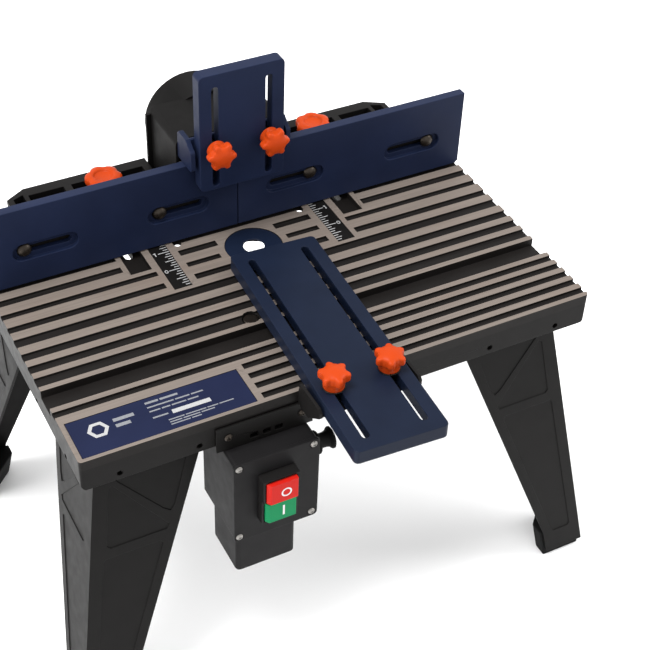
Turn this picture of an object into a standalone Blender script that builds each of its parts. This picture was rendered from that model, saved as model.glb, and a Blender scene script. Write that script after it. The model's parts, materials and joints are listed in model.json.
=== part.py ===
"""Bench-top router table with a split fence, two slotted guard plates and a switch box.

Run with: blender --background --python part.py

Lengths are metres, angles are radians, +Z is up and the operator stands on the -Y side.
Positions inside the functions are table coordinates: x across the table from its middle,
y back from the front face of the table, z up from the machined table surface.
to_world() turns them into the part's own frame, whose origin is on the floor under the
middle of the bounding box.
"""

import math

import bmesh
import bpy
from mathutils import Euler, Matrix, Vector

# ---------------------------------------------------------------- driving dimensions
TABLE_WIDTH = 0.457
TABLE_DEPTH = 0.298
TABLE_HEIGHT = 0.310
FRONT_FACE_Y = -0.1141
GAP = 0.0003

HALF_WIDTH = TABLE_WIDTH / 2
BIT_Y = 0.1812
APRON_HEIGHT = 0.0305
APRON_WALL = 0.004
APRON_CORNER = 0.005
TABLE_CORNER = 0.003
DECK_UNDERSIDE = -0.0135
GROOVE_DEPTH = 0.0026
MITRE_SLOT = (0.0640, 0.0852)
MITRE_DEPTH = 0.0078
FRONT_GROOVES = [(0.0044 + 0.01212 * i, 0.0106 + 0.0121 * i) for i in range(4)]
LONG_GROOVES = [(0.0525, 0.0588), (0.0903, 0.1008), (0.1073, 0.1158), (0.1232, 0.1317), (0.1409, 0.1506)]
MIDDLE_GROOVES = [(0.1598, 0.1669), (0.1780, 0.1840), (0.1948, 0.2023), (0.2115, 0.2180)]
REAR_GROOVES = [(0.2290, 0.2355), (0.2465, 0.2530), (0.2640, 0.2705), (0.2810, 0.2870)]
LABEL_PANEL_X = -0.075
LABEL_POCKET = (-0.2243, -0.0810, 0.0033, 0.0437)
LABEL_DEPTH = 0.0012
SCALE_X = (0.0700, 0.0862)
SCALE_Y = (0.1546, 0.2350)
SCALE_DEPTH = 0.0015
CLAMP_CHANNEL_X = (0.0930, 0.1120)
CLAMP_CHANNEL_Y = (0.1886, 0.2900)
CLAMP_SLOT_X = (0.0988, 0.1062)
CLAMP_SLOT_Y = (0.2185, 0.2875)
CLAMP_SLOT_ROUND = 0.0036
INSERT_RADIUS = 0.0255
INSERT_HOLE = 0.0093
INSERT_THICKNESS = 0.004
INSERT_LEDGE_RADIUS = 0.0232
RING_LAND_RADIUS = 0.0322
DECK_HOLES = [(-0.0597, 0.2113), (0.0597, 0.2113)]
DECK_HOLE_RADIUS = 0.0033
DECK_HOLE_RELIEF = (0.0185, -0.0035)
APRON_HOLE_X = (0.1320, 0.1975)
APRON_HOLE_Y = (0.0337, 0.1004)
APRON_HOLE_Z = -0.024
APRON_HOLE_RADIUS = 0.0026

LEG_SPLAY = 0.175
LEG_TOP = DECK_UNDERSIDE - GAP
LEG_WALL = 0.0025
LEG_LEVELS = [(LEG_TOP, 0.0800), (-0.034, 0.0931), (-0.279, 0.0408), (-0.303, 0.0408)]
LEG_CORNER_X = 0.2148
LEG_CORNER_Y = 0.0187
LEG_CORNER_Z = -0.056
LEG_TAB = 0.058
PANEL_DEPTH = 0.0008
FOOT_TOP = -0.280
FOOT_OVERHANG = 0.0025

CLAMP_AXIS = [(-0.0433, 0.0957), (0.0433, 0.0957), (-0.0433, 0.2643), (0.0433, 0.2643)]

FENCE_FACE_Y = 0.214
FENCE_THICKNESS = 0.0086
FENCE_TOP = 0.0772
FENCE_BOTTOM = 0.0012
FENCE_SLOT_Z = 0.0335
FENCE_SLOTS = [(0.0275, 0.0845), (0.1470, 0.2045)]
FENCE_RECESS_HEIGHT = 0.0166
FENCE_RECESS_DEPTH = 0.0035
FENCE_SLOT_WIDTH = 0.0067
FENCE_BOLT_X = (0.0725, 0.1935)
FENCE_BODY_Y = (0.2230, 0.2945)
FENCE_BODY_TOP = 0.038
FENCE_BODY_HALF = 0.1865
FENCE_WALL_HALF = 0.2085
FENCE_WALL_TOP = 0.070
CLAMP_KNOB = (0.1025, 0.2705)
HOOD_HALF = 0.0502
HOOD_Y = (0.2300, 0.2880)
HOOD_TOP = 0.094
HOOD_WALL = 0.0025
HOOD_MOUTH_TOP = 0.0720
HOOD_FLANGE = (0.0547, 0.0030, 0.0880)
PORT_RADIUS = 0.0425
PORT_WALL = 0.003
PORT_END = 0.322
PORT_Z = 0.0555

PLATE_WIDTH = 0.0785
PLATE_THICKNESS = 0.0125
PLATE_LENGTH = 0.2515
PLATE_WALL = 0.0025
PLATE_CORNER = 0.004
PLATE_SLOT_SPACING = 0.0490
PLATE_SLOT_WIDTH = 0.0064
PLATE_SLOT_MARGIN = 0.0115
PLATE_SLOT_RIB = 0.0102
SLIDE_PIVOT = (-0.0026, -0.0190)
SLIDE_SKEW = math.radians(-3.0)
SLIDE_MIDDLE = 0.05325
GUARD_X = -0.0024
GUARD_FACE_Y = 0.1988
GUARD_THICKNESS = 0.0118
GUARD_WIDTH = 0.0775
GUARD_LENGTH = 0.112
GUARD_BOTTOM = 0.0570
GUARD_KNOB_Z = 0.0980
GUARD_SLOT_MARGIN = 0.0035

KNOB_HEIGHT = 0.0155
SMALL_KNOB_HEIGHT = 0.0175
KNOB_HUB_RADIUS = 0.0085
KNOB_STAR_BOTTOM = 0.0070
SMALL_KNOB_STAR = (0.0102, 0.0131)
CLAMP_KNOB_STAR = (0.0146, 0.0166)
CLAMP_KNOB_DISH = 0.0084
KNOB_BORE = 0.0033
BOLT_RADIUS = 0.0029

BOX_X = (-0.1134, -0.0384)
BOX_Z = (-0.1248, -0.0358)
BOX_FRONT_Y = -0.0220
BOX_BACK_Y = 0.0400
BOX_WALL = 0.0025
COVER_THICKNESS = 0.0035
SWITCH_X = (-0.0928, -0.0608)
SWITCH_Z = (-0.1050, -0.0535)
SWITCH_DEPTH = 0.0100
SWITCH_LIP = 0.0012
STOP_BUTTON = (-0.0900, -0.0636, -0.0780, -0.0564, 0.0135)
START_BUTTON = (-0.0900, -0.0636, -0.1022, -0.0810, 0.0105)
GLAND = (0.0060, -0.0720)

PARTS = None
CUTTERS = None


# ---------------------------------------------------------------- scene and helpers
def to_world(point):
    """Table coordinates to the part's frame."""
    x, y, z = point
    return Vector((x, y + FRONT_FACE_Y, z + TABLE_HEIGHT))


def clear_scene():
    for thing in list(bpy.data.objects):
        bpy.data.objects.remove(thing, do_unlink=True)


def make_collection(name):
    group = bpy.data.collections.new(name)
    bpy.context.scene.collection.children.link(group)
    return group


def make_material(name, colour, roughness, metallic=0.0):
    material = bpy.data.materials.new(name)
    material.use_nodes = True
    shader = material.node_tree.nodes["Principled BSDF"]
    shader.inputs["Base Color"].default_value = (*colour, 1.0)
    shader.inputs["Roughness"].default_value = roughness
    shader.inputs["Metallic"].default_value = metallic
    material.diffuse_color = (*colour, 1.0)
    return material


def add_part(name, shape, material, body=None):
    """Turn a shape into a finished, named part that may belong to a moving body."""
    shape.name = name
    shape.data.name = name
    for group in list(shape.users_collection):
        group.objects.unlink(shape)
    PARTS.objects.link(shape)
    shape.hide_render = False
    shape.display_type = 'TEXTURED'
    shape.data.materials.clear()
    shape.data.materials.append(material)
    if body is not None:
        shape.parent = body
        shape.matrix_parent_inverse = Matrix.Identity(4)
        shape.location = shape.location - body.location
    return shape


def make_body(name, point, turn=0.0):
    """An empty on a joint's axis; the parts that move together are its children."""
    body = bpy.data.objects.new(name, None)
    body.empty_display_size = 0.02
    body.location = to_world(point)
    body.rotation_euler = (0.0, 0.0, turn)
    PARTS.objects.link(body)
    return body


def shape_from_mesh(mesh, origin):
    """A new shape, kept as a hidden cutter until add_part makes a part of it."""
    shape = bpy.data.objects.new("shape", mesh)
    shape.location = to_world(origin)
    shape.hide_render = True
    shape.display_type = 'WIRE'
    CUTTERS.objects.link(shape)
    return shape


def shape_from_bmesh(bm, origin):
    mesh = bpy.data.meshes.new("shape")
    bmesh.ops.recalc_face_normals(bm, faces=bm.faces)
    bm.to_mesh(mesh)
    bm.free()
    return shape_from_mesh(mesh, origin)


def add_cube(bm, low, high, origin):
    low = Vector(low)
    high = Vector(high)
    verts = bmesh.ops.create_cube(bm, size=1.0)["verts"]
    bmesh.ops.scale(bm, vec=high - low, verts=verts)
    bmesh.ops.translate(bm, vec=(low + high) / 2 - Vector(origin), verts=verts)


def boxes(corner_pairs, origin=(0, 0, 0)):
    """One shape holding a separate box for each pair of lowest and highest corners."""
    bm = bmesh.new()
    for low, high in corner_pairs:
        add_cube(bm, low, high, origin)
    return shape_from_bmesh(bm, origin)


def box(low, high, origin=(0, 0, 0)):
    return boxes([(low, high)], origin)


def rods(ends, sides=24, origin=(0, 0, 0)):
    """One shape holding a cone or cylinder for each (start, end, start radius, end radius)."""
    bm = bmesh.new()
    for start, end, radius_start, radius_end in ends:
        start = Vector(start)
        along = Vector(end) - start
        verts = bmesh.ops.create_cone(bm, cap_ends=True, segments=sides, radius1=radius_start,
                                      radius2=radius_end, depth=along.length)["verts"]
        turn = along.to_track_quat('Z', 'Y').to_matrix()
        bmesh.ops.rotate(bm, matrix=turn, verts=verts)
        bmesh.ops.translate(bm, vec=start + along / 2 - Vector(origin), verts=verts)
    shape = shape_from_bmesh(bm, origin)
    shade_round(shape)
    return shape


def rod(start, end, radius, sides=24, origin=(0, 0, 0)):
    return rods([(start, end, radius, radius)], sides, origin)


def shade_round(shape, angle=35):
    shape.data.shade_smooth()
    shape.data.set_sharp_from_angle(angle=math.radians(angle))


AXIS_TURN = {
    'Z': Matrix.Identity(4),
    'Y': Euler((math.pi / 2, 0, 0)).to_matrix().to_4x4(),
    'X': Euler((math.pi / 2, 0, math.pi / 2)).to_matrix().to_4x4(),
}


def prism(outline, axis, low, high, origin=(0, 0, 0)):
    """A flat outline drawn out along an axis.

    The outline's points are (x, y) for axis Z, (x, z) for axis Y and (y, z) for axis X.
    """
    curve = bpy.data.curves.new("outline", 'CURVE')
    curve.dimensions = '2D'
    curve.fill_mode = 'BOTH'
    curve.extrude = (high - low) / 2
    spline = curve.splines.new('POLY')
    spline.points.add(len(outline) - 1)
    for point, (across, along) in zip(spline.points, outline):
        point.co = (across, along, 0, 1)
    spline.use_cyclic_u = True
    outline_object = bpy.data.objects.new("outline", curve)
    bpy.context.scene.collection.objects.link(outline_object)
    graph = bpy.context.evaluated_depsgraph_get()
    mesh = bpy.data.meshes.new_from_object(outline_object.evaluated_get(graph))
    bm = bmesh.new()
    bm.from_mesh(mesh)
    bmesh.ops.remove_doubles(bm, verts=bm.verts, dist=0.00001)
    bmesh.ops.dissolve_limit(bm, angle_limit=0.0005, verts=bm.verts, edges=bm.edges)
    bmesh.ops.transform(bm, matrix=AXIS_TURN[axis], verts=bm.verts)
    middle = (low + high) / 2
    shift = {'X': Vector((middle, 0, 0)), 'Y': Vector((0, middle, 0)), 'Z': Vector((0, 0, middle))}[axis]
    bmesh.ops.translate(bm, vec=shift - Vector(origin), verts=bm.verts)
    bpy.data.objects.remove(outline_object, do_unlink=True)
    bpy.data.curves.remove(curve)
    bpy.data.meshes.remove(mesh)
    return shape_from_bmesh(bm, origin)


def turned(profile, point, direction='Z', steps=32):
    """A turned shape: a profile of (radius, height) points, run from top to bottom."""
    mesh = bpy.data.meshes.new("profile")
    points = [(radius, 0.0, height) for radius, height in profile]
    closed = profile[0] == profile[-1]
    if closed:
        points = points[:-1]
    edges = [(i, i + 1) for i in range(len(points) - 1)]
    if closed:
        edges.append((len(points) - 1, 0))
    mesh.from_pydata(points, edges, [])
    shape = shape_from_mesh(mesh, point)
    screw = shape.modifiers.new("turn", 'SCREW')
    screw.steps = steps
    screw.render_steps = steps
    screw.use_merge_vertices = True
    screw.merge_threshold = 0.00002
    screw.use_smooth_shade = True
    apply_modifiers(shape)
    turn = {'Z': Matrix.Identity(4), '-Y': Matrix.Rotation(math.pi / 2, 4, 'X'),
            'Y': Matrix.Rotation(-math.pi / 2, 4, 'X'), 'X': Matrix.Rotation(math.pi / 2, 4, 'Y')}[direction]
    bm = bmesh.new()
    bm.from_mesh(shape.data)
    bmesh.ops.transform(bm, matrix=turn, verts=bm.verts)
    bmesh.ops.recalc_face_normals(bm, faces=bm.faces)
    bm.to_mesh(shape.data)
    bm.free()
    shade_round(shape)
    return shape


def loft(sections, origin=(0, 0, 0)):
    """A closed solid through loops with equal point counts, for tapered and splayed forms."""
    bm = bmesh.new()
    loops = [[bm.verts.new(Vector(point) - Vector(origin)) for point in loop] for loop in sections]
    count = len(loops[0])
    for upper, lower in zip(loops, loops[1:]):
        for i in range(count):
            j = (i + 1) % count
            bm.faces.new((upper[i], upper[j], lower[j], lower[i]))
    bm.faces.new(loops[0])
    bm.faces.new(loops[-1])
    return shape_from_bmesh(bm, origin)


def apply_modifiers(shape):
    graph = bpy.context.evaluated_depsgraph_get()
    mesh = bpy.data.meshes.new_from_object(shape.evaluated_get(graph))
    old = shape.data
    shape.modifiers.clear()
    shape.data = mesh
    bpy.data.meshes.remove(old)


def combine(shape, other, operation):
    step = shape.modifiers.new(operation.lower(), 'BOOLEAN')
    step.operation = operation
    step.solver = 'EXACT'
    step.object = other


def cut(shape, *cutters):
    for cutter in cutters:
        combine(shape, cutter, 'DIFFERENCE')


def unite(shape, *others):
    for other in others:
        combine(shape, other, 'UNION')


def intersect(shape, other):
    combine(shape, other, 'INTERSECT')


def arc(middle, radius, start, end, steps):
    """Points on an arc in degrees, both ends included."""
    points = []
    for i in range(steps + 1):
        angle = math.radians(start + (end - start) * i / steps)
        points.append((middle[0] + radius * math.cos(angle), middle[1] + radius * math.sin(angle)))
    return points


def rounded_rectangle(x_low, x_high, y_low, y_high, radius, steps=3):
    corners = [(x_high - radius, y_high - radius, 0), (x_low + radius, y_high - radius, 90),
               (x_low + radius, y_low + radius, 180), (x_high - radius, y_low + radius, 270)]
    points = []
    for x, y, start in corners:
        points += arc((x, y), radius, start, start + 90, steps)
    return points


def obround(x_low, x_high, middle, width, steps=8):
    """A slot's outline with round ends, running along the first axis."""
    radius = width / 2
    return (arc((x_high - radius, middle), radius, -90, 90, steps)
            + arc((x_low + radius, middle), radius, 90, 270, steps))


def mirrored(low, high):
    """The boxes on both sides of the middle plane, from the one on the right."""
    return [(low, high), ((-high[0], low[1], low[2]), (-low[0], high[1], high[2]))]


# ---------------------------------------------------------------- table
def groove_boxes():
    """Every groove between the ribs of the table top, as a list of boxes."""
    edge = HALF_WIDTH + 0.01
    lift = 0.01
    floor = -GROOVE_DEPTH
    grooves = []
    for start, end in FRONT_GROOVES:
        grooves.append(((LABEL_PANEL_X, start, floor), (edge, end, lift)))
    for start, end in LONG_GROOVES + REAR_GROOVES[3:]:
        grooves.append(((-edge, start, floor), (edge, end, lift)))
    for i, (start, end) in enumerate(MIDDLE_GROOVES):
        middle = (start + end) / 2
        reach = math.sqrt(max(RING_LAND_RADIUS ** 2 - (middle - BIT_Y) ** 2, 0.028 ** 2))
        outer = 0.0912 if i < 2 else 0.1168
        if start > BIT_Y + 0.030:
            grooves.append(((-0.0634, start, floor), (0.0634, end, lift)))
        else:
            grooves += mirrored((reach, start, floor), (0.0634, end, lift))
        grooves += mirrored((outer, start, floor), (edge, end, lift))
    for start, end in REAR_GROOVES[:3]:
        grooves.append(((-0.0634, start, floor), (0.0634, end, lift)))
        grooves += mirrored((0.1168, start, floor), (edge, end, lift))
    return grooves


def apron_outline(low, high, radius):
    """A front view wider than the table whose lower corners round off the front apron's ends."""
    bottom = -APRON_HEIGHT
    shoulder = bottom + radius + 0.0005
    beyond = 0.01
    return ([(high + beyond, 0.01), (low - beyond, 0.01), (low - beyond, shoulder)]
            + arc((low + radius, bottom + radius), radius, 185, 270, 4)
            + arc((high - radius, bottom + radius), radius, 270, 355, 4) + [(high + beyond, shoulder)])


def build_table_top(material):
    half = HALF_WIDTH
    bottom = -APRON_HEIGHT
    radius = APRON_CORNER
    top = prism(rounded_rectangle(-half, half, 0, TABLE_DEPTH, TABLE_CORNER), 'Z', bottom, 0)
    intersect(top, prism(apron_outline(-half, half, radius), 'Y', -0.02, TABLE_DEPTH + 0.02))
    inner = half - APRON_WALL
    cut(top, box((-inner, APRON_WALL, -0.05), (inner, TABLE_DEPTH - APRON_WALL, DECK_UNDERSIDE)))
    grooves = groove_boxes()
    grooves.append(((-half - 0.01, MITRE_SLOT[0], -MITRE_DEPTH), (half + 0.01, MITRE_SLOT[1], 0.01)))
    cut(top, boxes(grooves))
    pockets = [((LABEL_POCKET[0], LABEL_POCKET[2], -LABEL_DEPTH), (LABEL_POCKET[1], LABEL_POCKET[3], 0.01))]
    pockets += mirrored((SCALE_X[0], SCALE_Y[0], -SCALE_DEPTH), (SCALE_X[1], SCALE_Y[1], 0.01))
    cut(top, boxes(pockets))
    channels = mirrored((CLAMP_CHANNEL_X[0], CLAMP_CHANNEL_Y[0], -0.0055),
                        (CLAMP_CHANNEL_X[1], CLAMP_CHANNEL_Y[1], 0.01))
    cut(top, boxes(channels))
    slots = mirrored((CLAMP_SLOT_X[0], CLAMP_SLOT_Y[0], -0.02), (CLAMP_SLOT_X[1], CLAMP_SLOT_Y[1], 0.0))
    cut(top, boxes(slots))
    slot_end = (CLAMP_SLOT_X[0] + CLAMP_SLOT_X[1]) / 2
    ends = []
    for side in (-1, 1):
        start = (side * slot_end, CLAMP_SLOT_Y[0] + 0.0005, -0.02)
        end = (side * slot_end, CLAMP_SLOT_Y[0] + 0.0005, 0.0)
        ends.append((start, end, CLAMP_SLOT_ROUND, CLAMP_SLOT_ROUND))
    cut(top, rods(ends, 16))
    cut(top, rod((0, BIT_Y, -INSERT_THICKNESS - GAP), (0, BIT_Y, 0.01), INSERT_RADIUS + GAP, 40))
    cut(top, rod((0, BIT_Y, -0.03), (0, BIT_Y, 0.0), INSERT_LEDGE_RADIUS, 32))
    holes = [((x, y, -0.02), (x, y, 0.01), 0.0036, 0.0036) for x, y in CLAMP_AXIS]
    seats = [((x, y, -0.0060), (x, y, 0.01), 0.0075, 0.0075) for x, y in CLAMP_AXIS]
    cut(top, rods(seats, 12), rods(holes, 8))
    cut(top, rods([((x, y, -0.02), (x, y, 0.01), DECK_HOLE_RADIUS, DECK_HOLE_RADIUS) for x, y in DECK_HOLES], 12))
    relief, ceiling = DECK_HOLE_RELIEF
    cut(top, rods([((x, y, -0.02), (x, y, ceiling), relief, relief) for x, y in DECK_HOLES], 20))
    cut(top, rods(apron_holes(), 8))
    return add_part("table_top", top, material)


def apron_holes():
    """The plain holes in the four aprons, as rods through the walls."""
    holes = []
    size = (APRON_HOLE_RADIUS, APRON_HOLE_RADIUS)
    rear_y = [TABLE_DEPTH - y for y in APRON_HOLE_Y]
    for side in (-1, 1):
        for x in APRON_HOLE_X:
            for y in (0, TABLE_DEPTH):
                holes.append(((side * x, y - 0.006, APRON_HOLE_Z), (side * x, y + 0.006, APRON_HOLE_Z), *size))
        for y in list(APRON_HOLE_Y) + rear_y:
            wall = side * HALF_WIDTH
            holes.append(((wall - 0.006, y, APRON_HOLE_Z), (wall + 0.006, y, APRON_HOLE_Z), *size))
    return holes


def leg_corner(z):
    """Distance of a leg's outer corner from the table's middle plane and front face at a height."""
    drop = LEG_CORNER_Z - z
    return LEG_CORNER_X + LEG_SPLAY * drop, LEG_CORNER_Y - LEG_SPLAY * drop


def leg_point(across, back, z, side, end):
    """A point given for the front right leg, moved to the leg on a side and end."""
    y = back if end < 0 else TABLE_DEPTH - back
    return (side * across, y, z)


def panel_outlines():
    """The three sunk panels of a leg face, as (distance from the corner, height) outlines."""
    def out(across, z):
        return (leg_corner(z)[0] - across, z)
    upper = [out(0.1975, -0.0500), out(0.1600, -0.0940), out(0.1540, -0.0985), out(0.1500, -0.0930),
             out(0.1350, -0.0500)]
    triangle = [out(0.1990, -0.0560), out(0.2022, -0.0585), out(0.2106, -0.1120), out(0.2080, -0.1150),
                out(0.1590, -0.1150), out(0.1570, -0.1110)]
    lower = [out(0.2135, -0.1245), out(0.2155, -0.1270), out(0.2425, -0.2770), out(0.2405, -0.2800),
             out(0.2245, -0.2800), out(0.2215, -0.2770), out(0.1640, -0.1275), out(0.1660, -0.1245)]
    return [upper, triangle, lower]


def panel_cutter(outline, side, end, face):
    """A shallow slab over a leg's outer face; face 'Y' is the front or rear, 'X' the side."""
    sections = []
    for depth in (PANEL_DEPTH, -0.004):
        loop = []
        for from_corner, z in outline:
            across, back = leg_corner(z)
            if face == 'Y':
                loop.append(leg_point(across - from_corner, back + depth, z, side, end))
            else:
                loop.append(leg_point(across - depth, back + from_corner, z, side, end))
        sections.append(loop)
    return loft(sections)


def build_leg(name, side, end, material):
    """An angle section, tapered and splayed, with sunk panels and a tab under the deck."""
    sections = []
    for z, width in LEG_LEVELS:
        across, back = leg_corner(z)
        wall = LEG_WALL
        plan = [(across, back), (across - width, back), (across - width, back + wall),
                (across - wall, back + wall), (across - wall, back + width), (across, back + width)]
        sections.append([leg_point(x, y, z, side, end) for x, y in plan])
    leg = loft(sections)
    across, back = leg_corner(LEG_TOP)
    tab_plan = [(across - 0.0012, back + 0.0012), (across - LEG_TAB, back + 0.0012),
                (across - LEG_TAB, back + 0.012), (across - 0.012, back + LEG_TAB),
                (across - 0.0012, back + LEG_TAB)]
    tab = loft([[leg_point(x, y, z, side, end) for x, y in tab_plan] for z in (LEG_TOP, LEG_TOP - 0.003)])
    unite(leg, tab)
    for outline in panel_outlines():
        for face in ('Y', 'X'):
            cut(leg, panel_cutter(outline, side, end, face))
    return add_part(name, leg, material)


def build_foot(name, side, end, material):
    """A moulded block that fills the leg's lower end and stands below it."""
    sections = []
    for z in (FOOT_TOP, -TABLE_HEIGHT):
        across, back = leg_corner(z)
        low = LEG_WALL + GAP + 0.0002
        size = LEG_LEVELS[-1][1] + FOOT_OVERHANG
        plan = [(low, low), (size, low), (size, 0.016), (0.016, size), (low, size)]
        sections.append([leg_point(across - x, back + y, z, side, end) for x, y in plan])
    return add_part(name, loft(sections), material)


def build_insert_ring(material):
    top = -0.0002
    profile = [(INSERT_HOLE, top), (INSERT_RADIUS - 0.0006, top), (INSERT_RADIUS, top - 0.0006),
               (INSERT_RADIUS, -INSERT_THICKNESS), (INSERT_HOLE + 0.0045, -INSERT_THICKNESS),
               (INSERT_HOLE, top - 0.0008), (INSERT_HOLE, top)]
    return add_part("insert_ring", turned(profile, (0, BIT_Y, 0), steps=40), material)


def build_label_plate(material):
    x_low, x_high, y_low, y_high = LABEL_POCKET
    outline = rounded_rectangle(x_low + GAP, x_high - GAP, y_low + GAP, y_high - GAP, 0.0012, 2)
    return add_part("label_plate", prism(outline, 'Z', -LABEL_DEPTH + GAP, -0.0002), material)


def build_scales(material):
    for name, side in (("scale_left", -1), ("scale_right", 1)):
        x_low, x_high = sorted((side * (SCALE_X[0] + GAP), side * (SCALE_X[1] - GAP)))
        strip = box((x_low, SCALE_Y[0] + GAP, -SCALE_DEPTH + GAP), (x_high, SCALE_Y[1] - GAP, -0.0004))
        add_part(name, strip, material)


def build_router_clamp(name, x, y, material, body):
    """A hooked clamp under the deck with its stud; the stud's head shows in the table top."""
    heel = -0.0080
    tip = 0.0260
    top = DECK_UNDERSIDE - GAP
    outline = [(heel, top), (-0.0035, top), (-0.0035, top - 0.0032), (tip, top - 0.0032),
               (tip, top - 0.0077), (heel, top - 0.0077)]
    clamp = prism(outline, 'Y', -0.0080, 0.0080)
    clamp.location = to_world((x, y, 0))
    clamp.rotation_euler = (0, 0, math.atan2(BIT_Y - y, -x))
    profile = [(0.0, -0.0022), (0.0062, -0.0022), (0.0067, -0.0027), (0.0067, -0.0057), (0.0029, -0.0057),
               (0.0029, top - 0.0060), (0.0060, top - 0.0060), (0.0060, top - 0.0130), (0.0029, top - 0.0130),
               (0.0029, -0.0370), (0.0, -0.0370)]
    unite(clamp, turned(profile, (x, y, 0), steps=12))
    return add_part(name, clamp, material, body)


# ---------------------------------------------------------------- fence
def build_fence_half(name, side, material, body):
    """A moulded half of the fence: a ribbed plate, open at the back, with two sunk slots."""
    inner = 0.0004
    outer = HALF_WIDTH
    back = FENCE_FACE_Y + FENCE_THICKNESS
    origin = (side * outer / 2, FENCE_FACE_Y, FENCE_BOTTOM)
    corner = 0.0025
    outline = [(inner, FENCE_TOP), (inner, FENCE_BOTTOM), (outer - corner, FENCE_BOTTOM),
               (outer, FENCE_BOTTOM + corner), (outer, FENCE_TOP)]
    outline = [(side * x, z) for x, z in outline]
    fence = prism(outline, 'Y', FENCE_FACE_Y, back, origin)
    wall = 0.0035
    hollow_y = (FENCE_FACE_Y + wall, back + 0.01)
    boss = 0.0045
    edges = [inner + wall]
    for start, end in FENCE_SLOTS:
        edges += [start - boss, end + boss]
    edges.append(outer - wall)
    hollows = []
    for start, end in zip(edges[::2], edges[1::2]):
        hollows.append(((start, hollow_y[0], FENCE_BOTTOM + wall), (end, hollow_y[1], FENCE_TOP - wall)))
    for start, end in FENCE_SLOTS:
        low = FENCE_SLOT_Z - FENCE_RECESS_HEIGHT / 2 - boss
        high = FENCE_SLOT_Z + FENCE_RECESS_HEIGHT / 2 + boss
        ends = (start - boss + 0.003, end + boss - 0.003)
        hollows.append(((ends[0], hollow_y[0], FENCE_BOTTOM + wall), (ends[1], hollow_y[1], low)))
        hollows.append(((ends[0], hollow_y[0], high), (ends[1], hollow_y[1], FENCE_TOP - wall)))
    placed = []
    for low, high in hollows:
        x_low, x_high = sorted((side * low[0], side * high[0]))
        placed.append(((x_low, low[1], low[2]), (x_high, high[1], high[2])))
    cut(fence, boxes(placed))
    for start, end in FENCE_SLOTS:
        x_low, x_high = sorted((side * start, side * end))
        recess = obround(x_low, x_high, FENCE_SLOT_Z, FENCE_RECESS_HEIGHT)
        cut(fence, prism(recess, 'Y', FENCE_FACE_Y - 0.01, FENCE_FACE_Y + FENCE_RECESS_DEPTH))
        margin = (FENCE_RECESS_HEIGHT - FENCE_SLOT_WIDTH) / 2
        slot = obround(x_low + margin, x_high - margin, FENCE_SLOT_Z, FENCE_SLOT_WIDTH, 6)
        cut(fence, prism(slot, 'Y', FENCE_FACE_Y - 0.01, back + 0.01))
    return add_part(name, fence, material, body)


def build_fence_bolt(name, x, material, body):
    """A dome-headed bolt in a fence slot, with its nut behind the fence body's wall."""
    head_back = FENCE_FACE_Y + FENCE_RECESS_DEPTH - GAP
    profile = [(0.0, 0.0036), (0.0030, 0.0033), (0.0053, 0.0021), (0.0066, 0.0), (BOLT_RADIUS, 0.0),
               (BOLT_RADIUS, -0.0092), (0.0052, -0.0092), (0.0052, -0.0135), (0.0, -0.0135)]
    bolt = turned(profile, (x, head_back, FENCE_SLOT_Z), '-Y', 14)
    return add_part(name, bolt, material, body)


def build_fence_body(material, body):
    """The trough bar behind the fence halves, with its tall front wall and clamp bosses."""
    y_low, y_high = FENCE_BODY_Y
    half = FENCE_BODY_HALF
    chamfer_x = 0.018
    chamfer_y = 0.0105
    bottom = GAP
    outline = [(half, y_low), (half, y_high - chamfer_y), (half - chamfer_x, y_high),
               (-half + chamfer_x, y_high), (-half, y_high - chamfer_y), (-half, y_low)]
    bar = prism(outline, 'Z', bottom, FENCE_BODY_TOP, (0, y_low, 0))
    wall = box((-FENCE_WALL_HALF, y_low, bottom), (FENCE_WALL_HALF, y_low + 0.003, FENCE_WALL_TOP))
    unite(bar, wall)
    floor = 0.0035
    front = y_low + 0.003
    rear = y_high - 0.0115
    pockets = []
    for x_low, x_high in ((0.1355, 0.1675), (0.0620, 0.1286)):
        pockets += mirrored((x_low, front, floor), (x_high, rear, 0.06))
    pockets.append(((-0.0550, front, floor), (0.0550, y_high + 0.01, 0.06)))
    cut(bar, boxes(pockets))
    for side in (-1, 1):
        outline = [(side * 0.1715, front), (side * 0.1810, front), (side * 0.1810, rear - 0.001),
                   (side * 0.1715, rear + 0.003)]
        cut(bar, prism(outline, 'Z', floor, 0.06))
        x = side * CLAMP_KNOB[0]
        y = CLAMP_KNOB[1]
        unite(bar, box((x - 0.0100, y - 0.0100, 0.001), (x + 0.0100, rear + 0.002, 0.0330)))
        cut(bar, rod((x, y, -0.01), (x, y, 0.06), BOLT_RADIUS + 0.0005, 16))
        cut(bar, box((x - 0.0045, y_low - 0.01, -0.01), (x + 0.0045, y_low + 0.028, 0.0040)))
        for bolt_x in FENCE_BOLT_X:
            hole = rod((side * bolt_x, y_low - 0.01, FENCE_SLOT_Z), (side * bolt_x, y_low + 0.02, FENCE_SLOT_Z),
                       BOLT_RADIUS + 0.0005, 12)
            cut(bar, hole)
            nut_room = box((side * bolt_x - 0.007, y_low + 0.003, FENCE_SLOT_Z - 0.0075),
                           (side * bolt_x + 0.007, y_low + 0.010, FENCE_SLOT_Z + 0.02))
            cut(bar, nut_room)
    return add_part("fence_body", bar, material, body)


def build_clamp_bolt(name, x, material, body):
    """A square-headed bolt hung in a table slot; its thread ends inside the clamp knob."""
    y = CLAMP_KNOB[1]
    origin = (x, y, 0)
    top = DECK_UNDERSIDE - GAP
    head = box((x - 0.0085, y - 0.0085, top - 0.0040), (x + 0.0085, y + 0.0085, top), origin)
    unite(head, rod((x, y, top - 0.0020), (x, y, 0.0420), BOLT_RADIUS, 12, origin))
    return add_part(name, head, material, body)


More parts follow.
